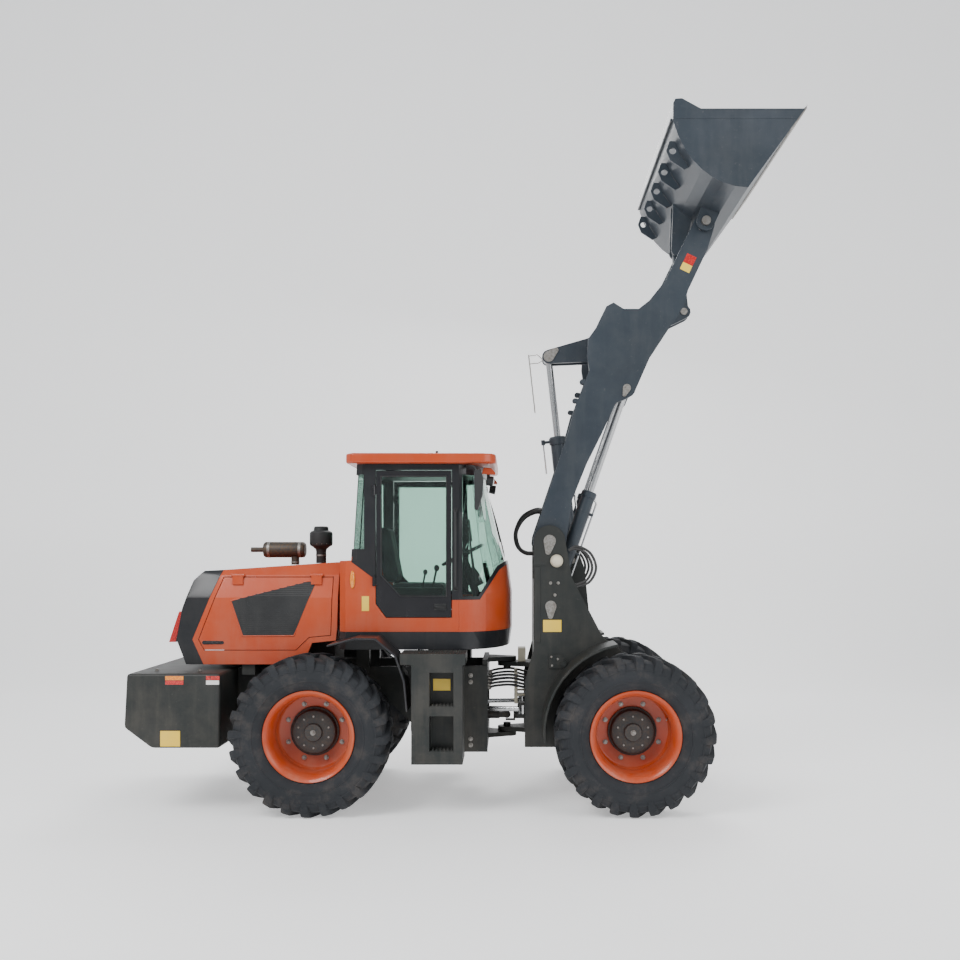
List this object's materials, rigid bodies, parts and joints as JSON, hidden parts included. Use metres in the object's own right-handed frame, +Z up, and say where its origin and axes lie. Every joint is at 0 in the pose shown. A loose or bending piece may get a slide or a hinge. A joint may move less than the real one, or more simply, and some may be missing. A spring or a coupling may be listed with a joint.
{
  "type": "wheel loader",
  "caption": "Compact articulated wheel loader with cab, rear engine hood and counterweight, and a boom that holds its bucket raised; it steers at a centre pin.",
  "frame": {"origin": "on the floor under the middle of the machine's length and width", "axes": "+X forwards to the bucket, +Y to the machine's left, +Z up"},
  "size_m": [4.966, 2.1, 5.1869],
  "materials": {
    "orange_paint": "satin orange enamel",
    "slate_paint": "satin slate blue-grey enamel",
    "chassis_paint": "dull dark grey enamel",
    "black_trim": "satin black",
    "cast_iron": "rough dark casting",
    "rubber": "matte black rubber",
    "steel": "ground and plated steel",
    "tinted_glass": "green-tinted glass",
    "seat_fabric": "woven dark grey cloth"
  },
  "bodies": {
    "rear_body": {"rear_frame": "chassis_paint", "counterweight": "chassis_paint", "rear_axle": "chassis_paint", "engine_block": "cast_iron", "hood": "orange_paint", "tail_cover": "black_trim", "muffler": "black_trim", "air_cleaner": "black_trim", "cab_frame": "black_trim", "cab_nose": "orange_paint", "cab_side_left": "orange_paint", "cab_side_right": "orange_paint", "cab_roof": "orange_paint", "windscreen": "tinted_glass", "rear_window": "tinted_glass", "seat_base": "black_trim", "seat_cushion": "seat_fabric", "seat_backrest": "seat_fabric", "steering_column": "black_trim", "ladder_left": "chassis_paint", "ladder_right": "chassis_paint", "rear_fender_left": "black_trim", "rear_fender_right": "black_trim"},
    "front_body": {"front_frame": "chassis_paint", "front_axle": "chassis_paint", "front_fender_left": "chassis_paint", "front_fender_right": "chassis_paint"},
    "front_left_wheel": {"front_left_tyre": "rubber", "front_left_rim": "orange_paint"},
    "rear_left_wheel": {"rear_left_tyre": "rubber", "rear_left_rim": "orange_paint"},
    "front_right_wheel": {"front_right_tyre": "rubber", "front_right_rim": "orange_paint"},
    "rear_right_wheel": {"rear_right_tyre": "rubber", "rear_right_rim": "orange_paint"},
    "boom_arm": {"boom": "slate_paint"},
    "shaft_body": {"bucket_shaft": "steel"},
    "bucket_body": {"bucket": "slate_paint"},
    "rocker_body": {"rocker": "slate_paint"},
    "link_pin_body": {"link_pin": "steel"},
    "link_body": {"bucket_link": "slate_paint"},
    "lift_barrel_left_body": {"lift_barrel_left": "slate_paint"},
    "lift_rod_left_body": {"lift_rod_left": "steel"},
    "lift_barrel_right_body": {"lift_barrel_right": "slate_paint"},
    "lift_rod_right_body": {"lift_rod_right": "steel"},
    "tilt_pin_body": {"tilt_pin": "steel"},
    "tilt_barrel_body": {"tilt_barrel": "slate_paint"},
    "tilt_piston_body": {"tilt_piston": "steel"},
    "tilt_rod_body": {"tilt_rod": "steel"},
    "steering_barrel_left_body": {"steering_barrel_left": "slate_paint"},
    "steering_rod_left_body": {"steering_rod_left": "steel"},
    "steering_barrel_right_body": {"steering_barrel_right": "slate_paint"},
    "steering_rod_right_body": {"steering_rod_right": "steel"},
    "cab_door_left_body": {"cab_door_left": "black_trim", "door_glass_left": "tinted_glass"},
    "engine_door_left_body": {"engine_door_left": "orange_paint"},
    "cab_door_right_body": {"cab_door_right": "black_trim", "door_glass_right": "tinted_glass"},
    "engine_door_right_body": {"engine_door_right": "orange_paint"}
  },
  "joints": [
    {"name": "articulation", "type": "hinge", "parent": "rear_body", "child": "front_body", "pos_m": [0.317, 0, 1.05241], "axis": [0, 0, 1], "range_deg": [-35, 35]},
    {"name": "front_left_wheel_spin", "type": "hinge", "parent": "front_body", "child": "front_left_wheel", "pos_m": [1.257, 0.815, 0.58991], "axis": [0, 1, 0], "continuous": true},
    {"name": "rear_left_wheel_spin", "type": "hinge", "parent": "rear_body", "child": "rear_left_wheel", "pos_m": [-1.119, 0.815, 0.58991], "axis": [0, 1, 0], "continuous": true},
    {"name": "front_right_wheel_spin", "type": "hinge", "parent": "front_body", "child": "front_right_wheel", "pos_m": [1.257, -0.815, 0.58991], "axis": [0, 1, 0], "continuous": true},
    {"name": "rear_right_wheel_spin", "type": "hinge", "parent": "rear_body", "child": "rear_right_wheel", "pos_m": [-1.119, -0.815, 0.58991], "axis": [0, 1, 0], "continuous": true},
    {"name": "boom_lift", "type": "hinge", "parent": "front_body", "child": "boom_arm", "pos_m": [0.649, 0, 2.01791], "axis": [0, -1, 0], "range_deg": [-106, 0]},
    {"name": "bucket_level", "type": "hinge", "parent": "boom_arm", "child": "shaft_body", "pos_m": [1.857, 0, 4.49191], "axis": [0, -1, 0], "range_deg": [0, 85.05]},
    {"name": "bucket_tilt", "type": "hinge", "parent": "shaft_body", "child": "bucket_body", "pos_m": [1.857, 0, 4.49191], "axis": [0, -1, 0], "range_deg": [-96, 0]},
    {"name": "rocker_turn", "type": "hinge", "parent": "boom_arm", "child": "rocker_body", "pos_m": [1.024, 0, 3.56891], "axis": [0, -1, 0], "range_deg": [0, 33.54]},
    {"name": "link_level", "type": "hinge", "parent": "rocker_body", "child": "link_pin_body", "pos_m": [1.742, 0, 3.86991], "axis": [0, -1, 0], "range_deg": [-31.17, 0]},
    {"name": "link_turn", "type": "hinge", "parent": "link_pin_body", "child": "link_body", "pos_m": [1.742, 0, 3.86991], "axis": [0, -1, 0], "range_deg": [-72.61, 0]},
    {"name": "lift_barrel_left_turn", "type": "hinge", "parent": "front_body", "child": "lift_barrel_left_body", "pos_m": [0.658, 0.255, 1.51191], "axis": [0, -1, 0], "range_deg": [-93.24, 0]},
    {"name": "lift_rod_left_slide", "type": "slide", "parent": "lift_barrel_left_body", "child": "lift_rod_left_body", "axis": [0.3301, 0, 0.944], "range_m": [-0.74864, 0]},
    {"name": "lift_barrel_right_turn", "type": "hinge", "parent": "front_body", "child": "lift_barrel_right_body", "pos_m": [0.658, -0.255, 1.51191], "axis": [0, -1, 0], "range_deg": [-93.24, 0]},
    {"name": "lift_rod_right_slide", "type": "slide", "parent": "lift_barrel_right_body", "child": "lift_rod_right_body", "axis": [0.3301, 0, 0.944], "range_m": [-0.74864, 0]},
    {"name": "tilt_pin_turn", "type": "hinge", "parent": "front_body", "child": "tilt_pin_body", "pos_m": [0.837, 0, 1.86491], "axis": [0, -1, 0], "range_deg": [-108.33, 0]},
    {"name": "tilt_barrel_turn", "type": "hinge", "parent": "tilt_pin_body", "child": "tilt_barrel_body", "pos_m": [0.837, 0, 1.86491], "axis": [0, -1, 0], "range_deg": [-3.66, 0]},
    {"name": "tilt_piston_slide", "type": "slide", "parent": "tilt_barrel_body", "child": "tilt_piston_body", "axis": [-0.1107, 0, 0.9939], "range_m": [-0.38334, 0]},
    {"name": "tilt_rod_slide", "type": "slide", "parent": "tilt_piston_body", "child": "tilt_rod_body", "axis": [-0.1107, 0, 0.9939], "range_m": [-0.20201, 0]},
    {"name": "steering_barrel_left_turn", "type": "hinge", "parent": "rear_body", "child": "steering_barrel_left_body", "pos_m": [-0.303, 0.16, 0.69491], "axis": [0, 0, 1], "range_deg": [-7.16, 7.16]},
    {"name": "steering_rod_left_slide", "type": "slide", "parent": "steering_barrel_left_body", "child": "steering_rod_left_body", "axis": [0.9894, 0.1451, 0], "range_m": [-0.14747, 0.14747]},
    {"name": "steering_barrel_right_turn", "type": "hinge", "parent": "rear_body", "child": "steering_barrel_right_body", "pos_m": [-0.303, -0.16, 0.69491], "axis": [0, 0, 1], "range_deg": [-7.16, 7.16]},
    {"name": "steering_rod_right_slide", "type": "slide", "parent": "steering_barrel_right_body", "child": "steering_rod_right_body", "axis": [0.9894, -0.1451, 0], "range_m": [-0.14747, 0.14747]},
    {"name": "cab_door_left_swing", "type": "hinge", "parent": "rear_body", "child": "cab_door_left_body", "pos_m": [-0.683, 0.6625, 1.19491], "axis": [0, 0, 1], "range_deg": [0, 80]},
    {"name": "engine_door_left_lift", "type": "hinge", "parent": "rear_body", "child": "engine_door_left_body", "pos_m": [-1.433, 0.5478, 1.75491], "axis": [1, 0, 0], "range_deg": [0, 70]},
    {"name": "cab_door_right_swing", "type": "hinge", "parent": "rear_body", "child": "cab_door_right_body", "pos_m": [-0.683, -0.6625, 1.19491], "axis": [0, 0, -1], "range_deg": [0, 80]},
    {"name": "engine_door_right_lift", "type": "hinge", "parent": "rear_body", "child": "engine_door_right_body", "pos_m": [-1.433, -0.5478, 1.75491], "axis": [-1, 0, 0], "range_deg": [0, 70]}
  ],
  "couplings": [
    {"joint": "bucket_level", "follows": "boom_lift", "ratio": -0.80189},
    {"joint": "rocker_turn", "follows": "bucket_tilt", "ratio": -0.34881},
    {"joint": "link_level", "follows": "boom_lift", "ratio": 0.29359},
    {"joint": "link_turn", "follows": "bucket_tilt", "ratio": 0.7558},
    {"joint": "lift_barrel_left_turn", "follows": "boom_lift", "ratio": 0.87919},
    {"joint": "lift_rod_left_slide", "follows": "boom_lift", "m_per_rad": 0.40439},
    {"joint": "lift_barrel_right_turn", "follows": "boom_lift", "ratio": 0.87919},
    {"joint": "lift_rod_right_slide", "follows": "boom_lift", "m_per_rad": 0.40439},
    {"joint": "tilt_pin_turn", "follows": "boom_lift", "ratio": 1.0215},
    {"joint": "tilt_barrel_turn", "follows": "bucket_tilt", "ratio": 0.037573},
    {"joint": "tilt_piston_slide", "follows": "boom_lift", "m_per_rad": 0.20694},
    {"joint": "tilt_rod_slide", "follows": "bucket_tilt", "m_per_rad": 0.12027},
    {"joint": "steering_barrel_left_turn", "follows": "articulation", "ratio": 0.20327},
    {"joint": "steering_rod_left_slide", "follows": "articulation", "m_per_rad": -0.24059},
    {"joint": "steering_barrel_right_turn", "follows": "articulation", "ratio": 0.20327},
    {"joint": "steering_rod_right_slide", "follows": "articulation", "m_per_rad": 0.24059}
  ]
}
